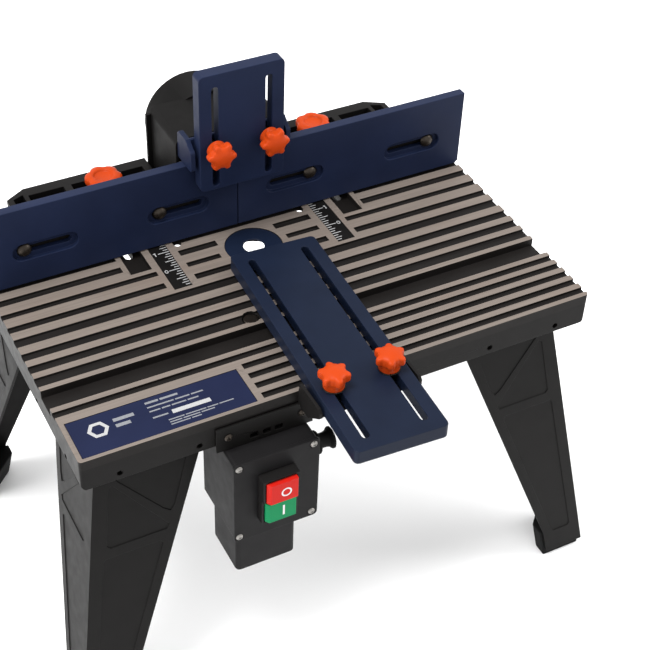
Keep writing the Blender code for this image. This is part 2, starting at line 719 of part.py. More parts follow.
def build_dust_hood(material, body):
    """A thin-walled hood, open towards the cutter, with a round hose port at the back."""
    bottom = 0.0038
    y_low, y_high = HOOD_Y
    half = HOOD_HALF
    radius = 0.006
    outline = rounded_rectangle(-half, half, bottom - 0.02, HOOD_TOP, radius)
    hood = prism(outline, 'Y', y_low, y_high, (0, y_low, 0))
    cut(hood, box((-0.1, y_low - 0.01, -0.05), (0.1, y_high + 0.01, bottom)))
    flange_half, flange_depth, flange_top = HOOD_FLANGE
    unite(hood, box((-flange_half, y_high - flange_depth, bottom), (flange_half, y_high - 0.0002, flange_top)))
    unite(hood, rod((0, y_high - 0.0032, PORT_Z), (0, PORT_END, PORT_Z), PORT_RADIUS, 40))
    inner = rounded_rectangle(-half + HOOD_WALL, half - HOOD_WALL, -0.03, HOOD_TOP - HOOD_WALL, radius - 0.002)
    cut(hood, prism(inner, 'Y', y_low + HOOD_WALL, y_high - HOOD_WALL))
    cut(hood, box((-half + HOOD_WALL, y_low - 0.01, -0.01), (half - HOOD_WALL, y_low + 0.01, HOOD_MOUTH_TOP)))
    cut(hood, rod((0, y_high - 0.0027, PORT_Z), (0, PORT_END + 0.01, PORT_Z), PORT_RADIUS - PORT_WALL, 40))
    return add_part("dust_hood", hood, material, body)


def build_guard_bracket(material, body):
    """The bracket that hooks over the fence and carries the upright guard plate."""
    middle = GUARD_X
    half = 0.0462
    wall = 0.0042
    front = 0.2010
    web_front = 0.2109
    web_back = FENCE_FACE_Y - GAP
    top = 0.1050
    over = FENCE_TOP + 0.0010
    rear = HOOD_Y[0] - GAP
    side_outline = [(front + 0.002, over), (rear, over), (rear, top - 0.003), (rear - 0.003, top),
                    (web_front + 0.001, top), (front + 0.003, top - 0.006)]
    side_outline += arc((front + 0.003, top - 0.009), 0.003, 90, 180, 3)[1:]
    side_outline.append((front, over + 0.002))
    bracket = prism(side_outline, 'X', middle - half, middle + half, (middle, web_back, over))
    inner = half - wall
    cut(bracket, box((middle - inner, front - 0.01, over - 0.01), (middle + inner, web_front, top + 0.01)))
    cut(bracket, box((middle - inner, web_back, over + 0.003), (middle + inner, rear + 0.01, top + 0.01)))
    for bolt_x in guard_bolt_x():
        cut(bracket, rod((bolt_x, front, GUARD_KNOB_Z), (bolt_x, rear, GUARD_KNOB_Z), BOLT_RADIUS + 0.0003, 12))
    return add_part("guard_bracket", bracket, material, body)


def guard_bolt_x():
    return [GUARD_X - PLATE_SLOT_SPACING / 2, GUARD_X + PLATE_SLOT_SPACING / 2]


def plain_bolt(name, start, end, head_end, material, body):
    """A bolt with a round head at one end: start and end are the shank, head_end the head."""
    shank = rod(start, end, BOLT_RADIUS, 12, start)
    unite(shank, rod(start, head_end, 0.0055, 12, start))
    return add_part(name, shank, material, body)


# ---------------------------------------------------------------- slotted plates and knobs
def slotted_plate(length, width, thickness, slot_low, slot_high, origin):
    """A moulded plate, hollow below, with two long slots; x across, y along, z up to its face."""
    half_x = width / 2
    half_y = length / 2
    shell = prism(rounded_rectangle(-half_x, half_x, -half_y, half_y, PLATE_CORNER), 'Z', -thickness, 0)
    wall = PLATE_WALL
    inside = rounded_rectangle(-half_x + wall, half_x - wall, -half_y + wall, half_y - wall, PLATE_CORNER - 0.001)
    cut(shell, prism(inside, 'Z', -thickness - 0.01, -wall))
    for side in (-1, 1):
        x = side * PLATE_SLOT_SPACING / 2
        rib = box((x - 0.0057, slot_low - 0.0025, -PLATE_SLOT_RIB), (x + 0.0057, slot_high + 0.0025, -0.001))
        unite(shell, rib)
        outline = [(across, along) for along, across in obround(slot_low, slot_high, x, PLATE_SLOT_WIDTH, 6)]
        cut(shell, prism(outline, 'Z', -thickness - 0.01, 0.01))
    apply_modifiers(shell)
    shell.location = to_world(origin)
    return shell


def build_slide_plate(material, body):
    low = -PLATE_LENGTH / 2 + PLATE_SLOT_MARGIN
    plate = slotted_plate(PLATE_LENGTH, PLATE_WIDTH, PLATE_THICKNESS, low, -low, (0, 0, 0))
    part = add_part("slide_plate", plate, material, body)
    part.location = (0, SLIDE_MIDDLE, PLATE_THICKNESS + GAP)
    return part


def build_guard_plate(material, body):
    low = -GUARD_LENGTH / 2 + GUARD_SLOT_MARGIN
    high = GUARD_LENGTH / 2 - PLATE_SLOT_MARGIN
    origin = (GUARD_X, GUARD_FACE_Y, GUARD_BOTTOM + GUARD_LENGTH / 2)
    plate = slotted_plate(GUARD_LENGTH, GUARD_WIDTH, GUARD_THICKNESS, low, high, origin)
    plate.rotation_euler = (math.pi / 2, 0, 0)
    return add_part("guard_plate", plate, material, body)


def star_outline(radii, steps=42):
    """The six-lobed outline of a knob: six round bumps between its valley and lobe radii."""
    valley, lobe = radii
    points = []
    for i in range(steps):
        angle = 2 * math.pi * i / steps
        bump = (0.5 + 0.5 * math.cos(6 * angle)) ** 1.5
        radius = valley + (lobe - valley) * bump
        points.append((radius * math.cos(angle), radius * math.sin(angle)))
    return points


def build_knob(name, point, direction, material, body):
    """A domed six-lobed hand knob with a round hub and a blind bore, on its joint's axis."""
    top = SMALL_KNOB_HEIGHT
    star = prism(star_outline(SMALL_KNOB_STAR), 'Z', KNOB_STAR_BOTTOM, top - 0.0025)
    hub = rods([((0, 0, 0), (0, 0, KNOB_STAR_BOTTOM + 0.001), KNOB_HUB_RADIUS, KNOB_HUB_RADIUS + 0.0006)], 18)
    crown = rods([((0, 0, top - 0.0036), (0, 0, top), 0.0092, 0.0062)], 18)
    unite(star, hub, crown)
    cut(star, rod((0, 0, -0.01), (0, 0, 0.0100), KNOB_BORE, 10))
    apply_modifiers(star)
    shade_round(star)
    star.location = to_world(point)
    if direction == '-Y':
        star.rotation_euler = (math.pi / 2, 0, 0)
    return add_part(name, star, material, body)


def build_clamp_knob(name, point, material, body):
    """A wide hand knob with a dished top, which tightens the fence on the table."""
    star = prism(star_outline(CLAMP_KNOB_STAR), 'Z', KNOB_STAR_BOTTOM, KNOB_HEIGHT)
    unite(star, rod((0, 0, 0), (0, 0, KNOB_STAR_BOTTOM + 0.001), KNOB_HUB_RADIUS + 0.0008, 18))
    cut(star, rod((0, 0, KNOB_HEIGHT - 0.0022), (0, 0, KNOB_HEIGHT + 0.01), CLAMP_KNOB_DISH, 18))
    cut(star, rod((0, 0, -0.01), (0, 0, 0.0100), KNOB_BORE, 10))
    apply_modifiers(star)
    shade_round(star)
    star.location = to_world(point)
    return add_part(name, star, material, body)


# ---------------------------------------------------------------- front bracket
def build_slide_bracket(material):
    """The bracket on the front apron that the slide plate is clamped to."""
    x_middle = SLIDE_PIVOT[0]
    half = 0.0452
    wall = 0.0026
    front = -0.0360
    outline = [(-GAP, -0.0115), (-GAP, 0.0), (-0.0020, 0.0090), (front + 0.003, 0.0090), (front, 0.0060),
               (front, 0.0010), (-0.0170, -0.0140), (-0.0032, -0.0140), (-0.0032, -0.0115)]
    bracket = prism(outline, 'X', x_middle - half, x_middle + half)
    inner = half - wall
    hollow = [(-0.0030, -0.0300), (-0.0030, -0.0060), (front - 0.01, -0.0060), (front - 0.01, -0.0300)]
    cut(bracket, prism(hollow, 'X', x_middle - inner, x_middle + inner))
    cut(bracket, box((x_middle - inner, front - 0.01, -GAP), (x_middle + inner, 0.01, 0.02)))
    for bolt_x in slide_bolt_x():
        y = SLIDE_PIVOT[1]
        pad = box((bolt_x - 0.0044, y - 0.0060, -0.0010), (bolt_x + 0.0044, y + 0.0060, 0.0022))
        unite(bracket, pad)
        cut(bracket, rod((bolt_x, y, -0.01), (bolt_x, y, 0.01), BOLT_RADIUS + GAP, 12))
    holes = [((x_middle + side * 0.012, -0.01, -0.0085), (x_middle + side * 0.012, 0.001, -0.0085), 0.0020, 0.0020)
             for side in (-1, 1)]
    cut(bracket, rods(holes, 12))
    return add_part("slide_bracket", bracket, material)


def slide_bolt_x():
    return [SLIDE_PIVOT[0] - PLATE_SLOT_SPACING / 2, SLIDE_PIVOT[0] + PLATE_SLOT_SPACING / 2]


# ---------------------------------------------------------------- switch box
def build_switch_bracket(material):
    """The angle that hangs the switch box from the front apron."""
    x_low = -0.1190
    x_high = -0.0350
    plate = box((x_low, -0.0023, -0.0363), (x_high, -GAP, -0.0120))
    shelf = box((x_low + 0.006, -0.0023, -0.0363), (x_high - 0.004, 0.0340, -0.0340))
    unite(plate, shelf)
    windows = [((x - 0.0035, -0.01, -0.0320), (x + 0.0035, 0.0001, -0.0270)) for x in (-0.0865, -0.0755, -0.0650)]
    cut(plate, boxes(windows))
    holes = [((x, -0.01, -0.0225), (x, 0.001, -0.0225), 0.0024, 0.0024) for x in (-0.1090, -0.0450)]
    cut(plate, rods(holes, 12))
    return add_part("switch_bracket", plate, material)


def build_screw(name, x, y, z, material, shank=0.005, head=0.0031):
    """A pan-head screw driven along +Y; y is the face that its head sits on."""
    profile = [(0.0, 0.0020), (head * 0.75, 0.0016), (head, 0.0004), (head, 0.0), (0.0018, 0.0),
               (0.0018, -shank), (0.0, -shank)]
    return add_part(name, turned(profile, (x, y, z), '-Y', 12), material)


def build_switch_box(material):
    """The box behind the cover, with square posts in its corners for the cover's screws."""
    x_low, x_high = BOX_X
    z_low, z_high = BOX_Z
    inset = 0.0008
    y_low = BOX_FRONT_Y + COVER_THICKNESS + GAP
    outline = rounded_rectangle(x_low + inset, x_high - inset, z_low + inset, z_high - inset, 0.003)
    case = prism(outline, 'Y', y_low, BOX_BACK_Y)
    left = x_low + inset + BOX_WALL
    right = x_high - inset - BOX_WALL
    low = z_low + inset + BOX_WALL
    high = z_high - inset - BOX_WALL
    cut(case, box((left, y_low - 0.01, low), (right, BOX_BACK_Y - BOX_WALL, high)))
    post = 0.0060
    reach = 0.001
    for x_edge, x_inner in ((left - reach, left + post), (right + reach, right - post)):
        for z_edge, z_inner in ((low - reach, low + post), (high + reach, high - post)):
            x_pair = sorted((x_edge, x_inner))
            z_pair = sorted((z_edge, z_inner))
            unite(case, box((x_pair[0], y_low + 0.0004, z_pair[0]), (x_pair[1], BOX_BACK_Y - 0.001, z_pair[1])))
    cut(case, rods([((x, y_low - 0.01, z), (x, y_low + 0.012, z), 0.0023, 0.0023) for x, z in cover_screws()], 8))
    cut(case, rod((x_high - 0.01, GLAND[0], GLAND[1]), (x_high + 0.01, GLAND[0], GLAND[1]), 0.0067, 20))
    return add_part("switch_box", case, material)


def cover_screws():
    x_low, x_high = BOX_X
    z_low, z_high = BOX_Z
    return [(x, z) for x in (x_low + 0.0045, x_high - 0.0053) for z in (z_low + 0.0052, z_high - 0.0050)]


def build_switch_cover(material):
    x_low, x_high = BOX_X
    z_low, z_high = BOX_Z
    y_low = BOX_FRONT_Y
    cover = prism(rounded_rectangle(x_low, x_high, z_low, z_high, 0.0035), 'Y', y_low, y_low + COVER_THICKNESS)
    cut(cover, rods([((x, y_low - 0.01, z), (x, y_low + 0.01, z), 0.0024, 0.0024) for x, z in cover_screws()], 8))
    cut(cover, rods([((x, y_low - 0.01, z), (x, y_low + 0.0010, z), 0.0036, 0.0036) for x, z in cover_screws()], 12))
    margin = SWITCH_LIP - 0.0004
    opening = box((SWITCH_X[0] + margin, y_low - 0.01, SWITCH_Z[0] + margin),
                  (SWITCH_X[1] - margin, y_low + 0.01, SWITCH_Z[1] - margin))
    cut(cover, opening)
    return add_part("switch_cover", cover, material)


def build_switch_frame(material):
    """The shroud around the two buttons: a raised collar, a body behind and a dividing bar."""
    x_low, x_high = SWITCH_X
    z_low, z_high = SWITCH_Z
    face = BOX_FRONT_Y - GAP
    nose = face - SWITCH_DEPTH
    outline = [(face, z_low), (face, z_high), (nose, z_high - 0.0005), (nose, z_high - 0.0240),
               (nose + 0.0030, z_high - 0.0255), (nose + 0.0030, z_low + 0.001)]
    frame = prism(outline, 'X', x_low, x_high)
    body = box((x_low + SWITCH_LIP, face - 0.001, z_low + SWITCH_LIP),
               (x_high - SWITCH_LIP, BOX_FRONT_Y + 0.0260, z_high - SWITCH_LIP))
    unite(frame, body)
    wells = []
    for bx_low, bx_high, bz_low, bz_high, reach in (STOP_BUTTON, START_BUTTON):
        wells.append(((bx_low - 0.0006, nose - 0.01, bz_low - 0.0006),
                      (bx_high + 0.0006, BOX_FRONT_Y + 0.0120, bz_high + 0.0006)))
    cut(frame, boxes(wells))
    return add_part("switch_frame", frame, material)


def build_button(name, size, material, body):
    """A push button with a bevelled face; it slides inwards along +Y."""
    x_low, x_high, z_low, z_high, reach = size
    nose = BOX_FRONT_Y - GAP - reach
    back = BOX_FRONT_Y + 0.0040
    origin = ((x_low + x_high) / 2, nose, (z_low + z_high) / 2)
    outline = [(x_low, back), (x_low, nose + 0.0035), (x_low + 0.0025, nose), (x_high - 0.0005, nose),
               (x_high, nose + 0.0005), (x_high, back)]
    return add_part(name, prism(outline, 'Z', z_low, z_high, origin), material, body)


def build_cable_gland(material):
    """The bell-mouthed sleeve on the right wall of the box, with a bore for a cable."""
    bore = 0.0042
    profile = [(bore, 0.0270), (0.0088, 0.0270), (0.0096, 0.0260), (0.0090, 0.0245), (0.0066, 0.0215),
               (0.0064, 0.0150), (0.0104, 0.0135), (0.0106, 0.0040), (0.0118, 0.0030), (0.0118, GAP),
               (0.0062, GAP), (0.0062, -0.0060), (bore, -0.0060), (bore, 0.0270)]
    wall = BOX_X[1] - 0.0008
    return add_part("cable_gland", turned(profile, (wall, GLAND[0], GLAND[1]), 'X', 18), material)


def build_outlet_housing(material):
    """The socket housing under the switch box, with its socket facing down."""
    z_high = BOX_Z[0] + 0.0008 - GAP
    z_low = z_high - 0.0500
    outline = rounded_rectangle(-0.1070, -0.0530, -0.0120, 0.0360, 0.004)
    housing = prism(outline, 'Z', z_low, z_high)
    cut(housing, rod((-0.0800, 0.0120, z_low - 0.01), (-0.0800, 0.0120, z_low + 0.0170), 0.0200, 28))
    return add_part("outlet_housing", housing, material)


# ---------------------------------------------------------------- assembly
def build_all():
    black_cast = make_material("cast_black", (0.020, 0.019, 0.019), 0.45)
    black_plastic = make_material("plastic_black", (0.018, 0.018, 0.019), 0.50)
    blue_plastic = make_material("plastic_blue", (0.012, 0.022, 0.060), 0.40)
    orange_plastic = make_material("plastic_orange", (0.86, 0.12, 0.020), 0.40)
    steel = make_material("steel", (0.45, 0.44, 0.42), 0.35, 1.0)
    dark_steel = make_material("dark_steel", (0.06, 0.055, 0.05), 0.40, 1.0)
    rubber = make_material("rubber", (0.015, 0.015, 0.015), 0.75)
    label = make_material("label_blue", (0.030, 0.035, 0.140), 0.45)
    red = make_material("plastic_red", (0.75, 0.020, 0.015), 0.35)
    green = make_material("plastic_green", (0.004, 0.30, 0.13), 0.35)

    build_table_top(black_cast)
    places = [("front_left", -1, -1), ("front_right", 1, -1), ("rear_left", -1, 1), ("rear_right", 1, 1)]
    for place, side, end in places:
        build_leg("leg_" + place, side, end, black_cast)
        build_foot("foot_" + place, side, end, rubber)
    build_insert_ring(blue_plastic)
    build_label_plate(label)
    build_scales(black_plastic)
    for i, (x, y) in enumerate(CLAMP_AXIS, start=1):
        clamp_body = make_body("router_clamp_%d_axis" % i, (x, y, 0))
        build_router_clamp("router_clamp_%d" % i, x, y, dark_steel, clamp_body)

    fence = make_body("fence_carriage", (0, FENCE_FACE_Y, 0))
    build_fence_body(black_plastic, fence)
    build_dust_hood(black_plastic, fence)
    build_guard_bracket(blue_plastic, fence)
    for word, side in (("left", -1), ("right", 1)):
        half_body = make_body("fence_%s_slide" % word, (side * HALF_WIDTH / 2, FENCE_FACE_Y, 0))
        build_fence_half("fence_" + word, side, blue_plastic, half_body)
        for place, x in zip(("inner", "outer"), FENCE_BOLT_X):
            build_fence_bolt("fence_bolt_%s_%s" % (word, place), side * x, dark_steel, fence)
        x = side * CLAMP_KNOB[0]
        build_clamp_bolt("clamp_bolt_" + word, x, steel, fence)
        knob_body = make_body("clamp_knob_%s_axis" % word, (x, CLAMP_KNOB[1], 0))
        build_clamp_knob("clamp_knob_" + word, (x, CLAMP_KNOB[1], 0.0330 + GAP), orange_plastic, knob_body)

    guard = make_body("guard_slide", (GUARD_X, GUARD_FACE_Y, GUARD_BOTTOM))
    build_guard_plate(blue_plastic, guard)
    for word, x in zip(("left", "right"), guard_bolt_x()):
        start = (x, GUARD_FACE_Y - 0.0085, GUARD_KNOB_Z)
        end = (x, 0.2200, GUARD_KNOB_Z)
        plain_bolt("guard_bolt_" + word, end, start, (x, 0.2140, GUARD_KNOB_Z), steel, fence)
        knob_body = make_body("guard_knob_%s_axis" % word, (x, GUARD_FACE_Y, GUARD_KNOB_Z))
        build_knob("guard_knob_" + word, (x, GUARD_FACE_Y - GAP, GUARD_KNOB_Z), '-Y', orange_plastic, knob_body)

    slide = make_body("slide_pivot", (*SLIDE_PIVOT, 0), SLIDE_SKEW)
    build_slide_plate(blue_plastic, slide)
    build_slide_bracket(black_plastic)
    for word, x in zip(("left", "right"), slide_bolt_x()):
        y = SLIDE_PIVOT[1]
        face = PLATE_THICKNESS + GAP
        plain_bolt("slide_bolt_" + word, (x, y, -0.0120), (x, y, face + 0.0085), (x, y, -0.0063), steel, None)
        knob_body = make_body("slide_knob_%s_axis" % word, (x, y, face))
        build_knob("slide_knob_" + word, (x, y, face + GAP), 'Z', orange_plastic, knob_body)

    build_switch_bracket(black_plastic)
    for word, x in (("left", -0.1090), ("right", -0.0450)):
        build_screw("bracket_screw_" + word, x, -0.0023 - GAP, -0.0225, steel, 0.0018, 0.0034)
    build_switch_box(black_plastic)
    build_switch_cover(black_plastic)
    for i, (x, z) in enumerate(cover_screws(), start=1):
        build_screw("cover_screw_%d" % i, x, BOX_FRONT_Y + 0.0010 - GAP, z, steel, 0.0100)
    build_switch_frame(black_plastic)
    stop_body = make_body("stop_button_slide", (STOP_BUTTON[0], BOX_FRONT_Y, STOP_BUTTON[2]))
    start_body = make_body("start_button_slide", (START_BUTTON[0], BOX_FRONT_Y, START_BUTTON[2]))
    build_button("stop_button", STOP_BUTTON, red, stop_body)
    build_button("start_button", START_BUTTON, green, start_body)
    build_cable_gland(rubber)
    build_outlet_housing(black_plastic)


clear_scene()
PARTS = make_collection("router_table")
CUTTERS = make_collection("cutters")
build_all()
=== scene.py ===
import json
import math

import bmesh
import bpy
from mathutils import Matrix, Vector


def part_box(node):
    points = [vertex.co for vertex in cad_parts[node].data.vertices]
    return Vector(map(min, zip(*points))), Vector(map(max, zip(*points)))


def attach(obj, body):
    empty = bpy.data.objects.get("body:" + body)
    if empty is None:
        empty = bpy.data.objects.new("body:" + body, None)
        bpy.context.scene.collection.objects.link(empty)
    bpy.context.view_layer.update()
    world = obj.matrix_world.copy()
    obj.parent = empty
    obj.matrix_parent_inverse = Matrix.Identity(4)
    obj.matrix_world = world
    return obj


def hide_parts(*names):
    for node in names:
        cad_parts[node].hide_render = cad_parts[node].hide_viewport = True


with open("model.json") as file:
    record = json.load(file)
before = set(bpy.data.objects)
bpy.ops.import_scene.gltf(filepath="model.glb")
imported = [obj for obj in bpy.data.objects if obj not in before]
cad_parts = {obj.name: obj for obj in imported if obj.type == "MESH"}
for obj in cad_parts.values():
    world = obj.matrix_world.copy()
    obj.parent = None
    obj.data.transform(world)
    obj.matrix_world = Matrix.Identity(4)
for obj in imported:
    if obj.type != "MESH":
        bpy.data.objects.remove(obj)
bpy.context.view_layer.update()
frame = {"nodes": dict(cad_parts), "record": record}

# ---------------------------------------------------------------- where things are
# Table coordinates: x across from the table's middle, y back from its front face and
# z up from the machined surface, in metres. at() turns them into the frame's coordinates.
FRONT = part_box("table_top")[0].y
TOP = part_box("table_top")[1].z
BIT_Y = 0.1812
RING_HOLE = 0.0093
# Below the grooves' reach the aprons take a darker copy of the same black paint, as painted shade.
GROOVE_REACH = 0.009  # how far below the top the colour of the grooves reaches

# ---------------------------------------------------------------- printed scales
INCH = 0.0254
SCALE_ZERO_Y = 0.180
TICK_LENGTHS = {8: 0.0102, 4: 0.0086, 2: 0.0062, 1: 0.0044}  # whole, half, quarter and eighth of an inch
NUMERAL_REACH = 0.0128  # from a strip's inner edge to the middle of its numerals
SCALE_INK = 0.00005
ZERO_INK = 0.00006

# ---------------------------------------------------------------- printed label
# Bars are (across, along, width, height) from the label's front left corner.
LABEL_INK = 0.00004
HEXAGON_RADII = (0.0088, 0.0056)
HEXAGON_AT = (0.0210, 0.0235)
TITLE_BARS = [(0.0345, 0.0262, 0.0170, 0.0034), (0.0345, 0.0198, 0.0120, 0.0034)]
PALE_BOX = (0.0790, 0.0155, 0.0320, 0.0042)
BESIDE_BOX = (0.0630, 0.0165, 0.0125, 0.0016)
UPPER_LINES = [(0.011, 0.015), (0.022, 0.012, 0.010), (0.009, 0.007, 0.012, 0.009)]
LOWER_LINES = [(0.013, 0.017, 0.009, 0.012), (0.010, 0.014, 0.011), (0.016, 0.008)]

# ---------------------------------------------------------------- camera, in table coordinates
CAMERA_AT = (-0.42762, -0.71692, 0.77462)
CAMERA_FORWARD = (0.35588, 0.66667, -0.65490)
CAMERA_RIGHT = (0.89162, -0.45214, 0.02424)
CAMERA_LENS = 79.60
CAMERA_SHIFT = (0.0328, -0.0051)

# ---------------------------------------------------------------- surfaces
GLOSS = 0.07
SHARP_ANGLE = 32.0  # edges that turn by more than this many degrees are rounded
FACE_RIM = 0.43  # a plate's rim starts this share of its size from the middle
INNER_ROUNDING = 0.30  # how round a plate's inner edges are, beside 1.0 at its rim

# ---------------------------------------------------------------- colours, linear
MACHINED = (0.150, 0.126, 0.110)
# The grooves and the aprons are one black paint; the aprons' colour is a darker copy, as painted shade on
# faces turned from the light.
APRON_BLACK_PAINTED_SHADE = (0.0046, 0.0041, 0.0039)
GROOVE_BLACK = (0.0082, 0.0072, 0.0068)
PANEL_BLACK = (0.0054, 0.0050, 0.0048)
MOULDED_BLACK = (0.0056, 0.0051, 0.0050)
HOOD_BLACK = (0.0030, 0.0027, 0.0026)
BOX_BLACK = (0.0062, 0.0058, 0.0062)
BLUE = (0.0048, 0.0080, 0.0185)
# The same blue plastic as BLUE, made brighter for the fence halves, guard plate and guard bracket: painted
# light.
UPRIGHT_BLUE_PAINTED_LIGHT = (0.0068, 0.0108, 0.0290)
RING_BLUE = (0.0030, 0.0062, 0.0165)
ORANGE = (0.345, 0.0345, 0.0042)
RED = (0.400, 0.0090, 0.0050)
GREEN = (0.0010, 0.1600, 0.0560)
# The buttons' symbols are the same white ink as WHITE_INK, made about twice as bright for the buttons'
# upright faces: painted light.
BUTTON_INK_PAINTED_LIGHT = (0.58, 0.58, 0.58)
WHITE_INK = (0.30, 0.30, 0.30)
LABEL_BLUE = (0.0070, 0.0100, 0.0300)
SCALE_BLACK = (0.0048, 0.0045, 0.0043)
ZINC = (0.26, 0.25, 0.235)
BLACKENED = (0.044, 0.037, 0.031)
RUBBER = (0.0055, 0.0055, 0.0055)

# ---------------------------------------------------------------- knob sections
# Each row is (height above the knob's base, radius between the lobes, radius on a lobe).
SMALL_KNOB_LEVELS = [
    (0.0008, 0.0086, 0.0086), (0.0058, 0.0090, 0.0090), (0.0072, 0.0093, 0.0097), (0.0078, 0.0096, 0.0116),
    (0.0086, 0.0098, 0.0127), (0.0100, 0.0099, 0.0130), (0.0130, 0.0099, 0.0130), (0.0142, 0.0097, 0.0127),
    (0.0149, 0.0093, 0.0118), (0.0153, 0.0088, 0.0104), (0.0158, 0.0080, 0.0084), (0.0164, 0.0066, 0.0067),
    (0.0170, 0.0045, 0.0045), (0.0173, 0.0022, 0.0022),
]
CLAMP_KNOB_LEVELS = [
    (0.0008, 0.0088, 0.0088), (0.0066, 0.0091, 0.0091), (0.0071, 0.0125, 0.0135), (0.0078, 0.0140, 0.0160),
    (0.0090, 0.0144, 0.0165), (0.0126, 0.0144, 0.0165), (0.0140, 0.0140, 0.0160), (0.0149, 0.0128, 0.0142),
    (0.0154, 0.0112, 0.0118), (0.0154, 0.0094, 0.0094), (0.0149, 0.0086, 0.0086), (0.0138, 0.0081, 0.0081),
    (0.0134, 0.0074, 0.0074), (0.0134, 0.0010, 0.0010),
]

BODY_OF = {}
for body_name, node_names in frame["record"]["behaviour"]["bodies"].items():
    for node_name in node_names:
        BODY_OF[node_name] = body_name
SLOT_OF = {row["node"]: row["material_slot"] for row in frame["record"]["subparts"]}


def at(x, y, z):
    """A point in table coordinates, in the frame's coordinates."""
    return Vector((x, y + FRONT, z + TOP))


# ---------------------------------------------------------------- materials
class Nodes:
    """A small wrapper that keeps a material's node tree short to write."""

    def __init__(self, name, colour, roughness, metallic=0.0):
        self.material = bpy.data.materials.new(name)
        self.material.use_nodes = True
        self.tree = self.material.node_tree
        self.shader = self.tree.nodes["Principled BSDF"]
        self.shader.inputs["Base Color"].default_value = (*colour, 1.0)
        self.shader.inputs["Roughness"].default_value = roughness
        self.shader.inputs["Metallic"].default_value = metallic
        self.shader.inputs["Specular IOR Level"].default_value = GLOSS
        self.material.diffuse_color = (*colour, 1.0)
        self.where = self.add("ShaderNodeTexCoord").outputs["Object"]

    def add(self, kind, **settings):
        node = self.tree.nodes.new(kind)
        for key, value in settings.items():
            setattr(node, key, value)
        return node

    def link(self, start, end):
        self.tree.links.new(start, end)

    def noise(self, scale, detail=2.0, stretch=(1, 1, 1)):
        mapping = self.add("ShaderNodeMapping")
        mapping.inputs["Scale"].default_value = [scale * s for s in stretch]
        self.link(self.where, mapping.inputs["Vector"])
        noise = self.add("ShaderNodeTexNoise")
        noise.inputs["Scale"].default_value = 1.0
        noise.inputs["Detail"].default_value = detail
        self.link(mapping.outputs["Vector"], noise.inputs["Vector"])
        return noise.outputs["Fac"]

    def span(self, value, low, high, start=0.0, end=1.0):
        """Spreads a value between start and end to between low and high, held at both ends."""
        node = self.add("ShaderNodeMapRange")
        node.inputs["From Min"].default_value = start
        node.inputs["From Max"].default_value = end
        node.inputs["To Min"].default_value = low
        node.inputs["To Max"].default_value = high
        self.link(value, node.inputs["Value"])
        return node.outputs["Result"]

    def mix(self, factor, first, second):
        """A colour between two colours, each a tuple or a socket."""
        node = self.add("ShaderNodeMix", data_type='RGBA')
        self.link(factor, node.inputs["Factor"])
        for index, colour in ((6, first), (7, second)):
            if isinstance(colour, tuple):
                node.inputs[index].default_value = (*colour, 1.0)
            else:
                self.link(colour, node.inputs[index])
        return node.outputs[2]

    def math(self, operation, first, second):
        node = self.add("ShaderNodeMath", operation=operation)
        for index, value in enumerate((first, second)):
            if isinstance(value, (int, float)):
                node.inputs[index].default_value = value
            else:
                self.link(value, node.inputs[index])
        return node.outputs[0]

    def height(self):
        split = self.add("ShaderNodeSeparateXYZ")
        self.link(self.where, split.inputs[0])
        return split.outputs["Z"]

    def edges(self, amount):
        """How far a point is on an outer edge, from 0 to amount."""
        geometry = self.add("ShaderNodeNewGeometry")
        return self.span(geometry.outputs["Pointiness"], 0.0, amount, 0.505, 0.60)

    def bump(self, value, distance, strength=1.0):
        node = self.add("ShaderNodeBump")
        node.inputs["Distance"].default_value = distance
        node.inputs["Strength"].default_value = strength
        self.link(value, node.inputs["Height"])
        self.link(node.outputs["Normal"], self.shader.inputs["Normal"])

    def colour(self, socket):
        self.link(socket, self.shader.inputs["Base Color"])

    def roughness(self, socket):
        self.link(socket, self.shader.inputs["Roughness"])


def shade(colour, factor):
    return tuple(min(1.0, channel * factor) for channel in colour)


def moulded(name, colour, roughness, grain=1500.0, depth=0.00003, edge=0.35, blotch=0.10):
    """Moulded plastic: a fine spark-eroded grain, faint flow blotches and a painted highlight along the outer
    edges.
    """
    nodes = Nodes(name, colour, roughness)
    wide = nodes.noise(28.0, 3.0)
    cloud = nodes.span(wide, 0.0, 1.0, 0.32, 0.68)
    base = nodes.mix(cloud, shade(colour, 1 - blotch), shade(colour, 1 + blotch))
    # Painted highlight: the outer edges are painted paler than the plastic, by as much as the edge argument
    # says.
    painted_edge_highlight = nodes.mix(nodes.edges(edge), base, tuple(min(1.0, c * 1.5 + 0.010) for c in colour))
    nodes.colour(painted_edge_highlight)
    fine = nodes.noise(grain, 2.0)
    nodes.roughness(nodes.span(nodes.noise(90.0, 3.0), roughness - 0.04, roughness + 0.04, 0.3, 0.7))
    nodes.bump(fine, depth, 0.5)
    return nodes.material


